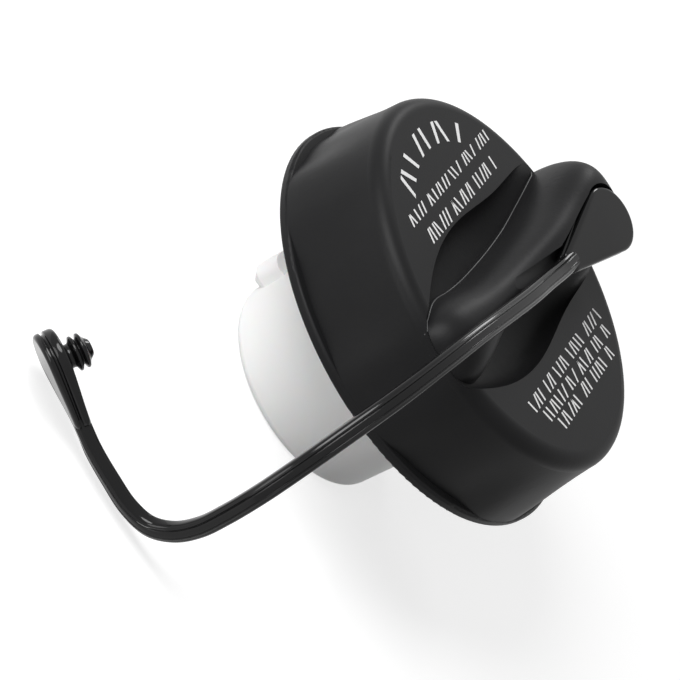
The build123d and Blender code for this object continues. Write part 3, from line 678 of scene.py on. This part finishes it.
def pushPinOutline(shape):
    base, foot, radius = -shape["paddleThickness"], shape["pushFoot"], shape["pushRadius"]
    outline = [(radius + foot + shape["pushFootSpread"], base + shape["pushFootSink"])]
    outline += [(radius + foot, base), (radius, base - foot)]
    level = base - shape["pushShank"]
    for _ in range(shape["pushRidges"]):
        ridge = level - shape["pushGap"]
        outline.append((radius, level))
        outline.append((shape["pushRidge"], ridge))
        outline.append((shape["pushRidge"] - shape["pushRidgeTaper"], ridge - shape["pushRidgeFace"]))
        level = ridge - shape["pushHeight"]
    outline.append((radius, level))
    outline.append((shape["pushTipRadius"], level - shape["pushTip"]))
    outline.append((shape["pinCore"], level - shape["pushTip"]))
    return roundedRun(outline, shape["pushCornerRound"], shape["pushCornerSteps"])


def snapPinOutline(shape):
    end = -shape["shankEnd"]
    tip = end - shape["pinHeadHeight"]
    return [
        (shape["pinRadius"], -shape["paddleThickness"] / 2),
        (shape["pinRadius"], end),
        (shape["pinHeadRadius"], end - shape["pinStep"]),
        (shape["pinHeadRadius"], end - shape["pinHeadHeight"] * shape["pinFlatShare"]),
        (shape["pinTip"], tip),
        (shape["pinCore"], tip),
    ]


def pieceFrom(mesh, name, material):
    data = bpy.data.meshes.new(name)
    bmesh.ops.recalc_face_normals(mesh, faces=mesh.faces)
    mesh.to_mesh(data)
    mesh.free()
    data.materials.append(material)
    piece = bpy.data.objects.new(name, data)
    bpy.context.collection.objects.link(piece)
    return piece


def smoothPieceFrom(mesh, name, material):
    for face in mesh.faces:
        face.smooth = True
    return pieceFrom(mesh, name, material)


def makeTether(shape):
    mesh = bmesh.new()
    near, far = nearFrame(shape), farFrame(shape)
    addStrap(mesh, shape)
    addPaddle(mesh, shape, near, shape["nearRadius"], shape["nearReach"])
    addPaddle(mesh, shape, far, shape["farRadius"], shape["farReach"])
    addTurned(mesh, far, pushPinOutline(shape), shape["turns"])
    addTurned(mesh, near, snapPinOutline(shape), shape["turns"])
    piece = smoothPieceFrom(mesh, "mouldedTether", finishes["tether_plastic"])
    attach(piece, "tether")
    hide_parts("tether")


makeTether(tetherShape)
print("tether ready")

# the fine raised line at the handle's foot, coloured lighter than the cover as a painted highlight along the
# foot's edge

footLine = {
    "radius": 0.13, "lift": 0.02, "steps": 6, "sides": 8,
    # these colours are several times lighter than the cover's own: a painted highlight on the raised line
    "gloss": 0.6, "dark": (0.040, 0.040, 0.041), "light": (0.055, 0.055, 0.056),
    "run": [
        (-9.1, 33.6, 20.6), (-8.0, 26.6, 20.1), (-6.8, 19.6, 19.1), (-5.8, 10.9, 18.4),
        (-5.5, 0.1, 18.1), (-5.5, -8.2, 17.2), (-5.9, -15.0, 16.6), (-6.7, -21.0, 17.5),
        (-7.6, -26.4, 18.6), (-7.0, -32.1, 19.3), (-5.3, -36.7, 18.9),
    ],
}


def makeFootLine(look):
    cover = frame["nodes"]["cover"]
    places = [cover.matrix_world @ corner.co for corner in cover.data.vertices]
    skin = BVHTree.FromPolygons(places, [face.vertices[:] for face in cover.data.polygons])
    line = []
    for place in smoothThrough([Vector(place) for place in look["run"]], look["steps"]):
        hit, normal, _, _ = skin.find_nearest(place * mm)
        line.append(hit / mm + normal * look["lift"])
    mesh = bmesh.new()
    addRun(mesh, line, [Vector((0, 0, 1))] * len(line), circle(look["radius"], look["sides"]))
    # the raised line's lighter colours are a painted highlight along the foot's edge
    plastic = makeBlackPlastic("footLinePaintedHighlight", {**coverFinish, **look})
    piece = smoothPieceFrom(mesh, "handleFootLine", plastic)
    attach(piece, "cover")


makeFootLine(footLine)
print("foot line ready")

# white marks printed on the top: plain slanted bars

printSet = {
    "level": 20.8, "lift": 0.02, "thickness": 0.03, "slant": 0.35, "stroke": 0.55,
    "rows": [  # x of the row's middle, first y, last y, height
        (-21.0, -21.0, 25.0, 2.2), (-16.5, -18.0, 20.5, 2.7),
        (18.4, -20.5, 24.5, 2.6), (21.8, -17.5, 23.5, 2.6), (25.0, -14.2, 20.5, 2.6),
    ],
    "arcRadius": 29.4, "arcStart": 211.0, "arcEnd": 147.0,
    "arcHeight": 4.2, "arcPitch": 4.4, "arcStroke": 1.0,
    "pitch": 1.75, "fewest": 3, "most": 7, "seed": 7,
    "ink": {"dark": (0.74, 0.74, 0.74), "light": (0.90, 0.90, 0.90), "rough": 0.5, "grainScale": 3000.0},
}


def barOutline(height, width, slant):
    # a slanted bar with its foot at (0, 0), in (reading direction, up) coordinates
    half = width / 2
    return [(-half, 0), (half, 0), (half + slant * height, height), (-half + slant * height, height)]


def addMark(mesh, outline, placeMark, low, high):
    ring = [placeMark(u, v) for u, v in outline]
    bottom = [mesh.verts.new((x * mm, y * mm, low * mm)) for x, y in ring]
    top = [mesh.verts.new((x * mm, y * mm, high * mm)) for x, y in ring]
    mesh.faces.new(top)
    mesh.faces.new(bottom[::-1])
    count = len(ring)
    for i in range(count):
        j = (i + 1) % count
        mesh.faces.new((bottom[i], bottom[j], top[j], top[i]))


def makeInk(look):
    material, tree, shader = startMaterial("whiteInk", Roughness=look["rough"])
    worn = useGroup(tree, grainGroup, Scale=look["grainScale"])
    colour = mixColours(tree, worn.outputs["Mottle"], look["dark"], look["light"])
    tree.links.new(colour, shader.inputs["Base Color"])
    return material


def barPlaces(length, look):
    # where the bars of a row stand: groups of them, with a gap between the groups
    position, left = 0.0, random.randint(look["fewest"], look["most"])
    while position < length:
        if left == 0:
            left = random.randint(look["fewest"], look["most"])
            position += look["pitch"]
        yield position
        left -= 1
        position += look["pitch"]


def arcPlace(look, turn, u, v):
    radius = look["arcRadius"] + v - look["arcHeight"] / 2
    angle = turn - u / look["arcRadius"]
    return radius * math.cos(angle), radius * math.sin(angle)


def makePrint(look):
    random.seed(look["seed"])
    mesh = bmesh.new()
    low = look["level"] + look["lift"]
    high = low + look["thickness"]
    slants = (look["slant"], -look["slant"], 0.0)
    for x, first, last, height in look["rows"]:
        for position in barPlaces(last - first, look):
            outline = barOutline(height, look["stroke"], random.choice(slants))
            addMark(mesh, outline, lambda u, v: (x + height / 2 - v, first + position + u), low, high)
    arc = math.radians(look["arcStart"] - look["arcEnd"]) * look["arcRadius"]
    for index in range(int(arc / look["arcPitch"]) + 1):
        turn = math.radians(look["arcStart"]) - index * look["arcPitch"] / look["arcRadius"]
        outline = barOutline(look["arcHeight"], look["arcStroke"], random.choice(slants))
        addMark(mesh, outline, lambda u, v: arcPlace(look, turn, u, v), low, high)
    piece = pieceFrom(mesh, "printedMarks", makeInk(look["ink"]))
    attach(piece, "cover")


makePrint(printSet)
print("print ready")
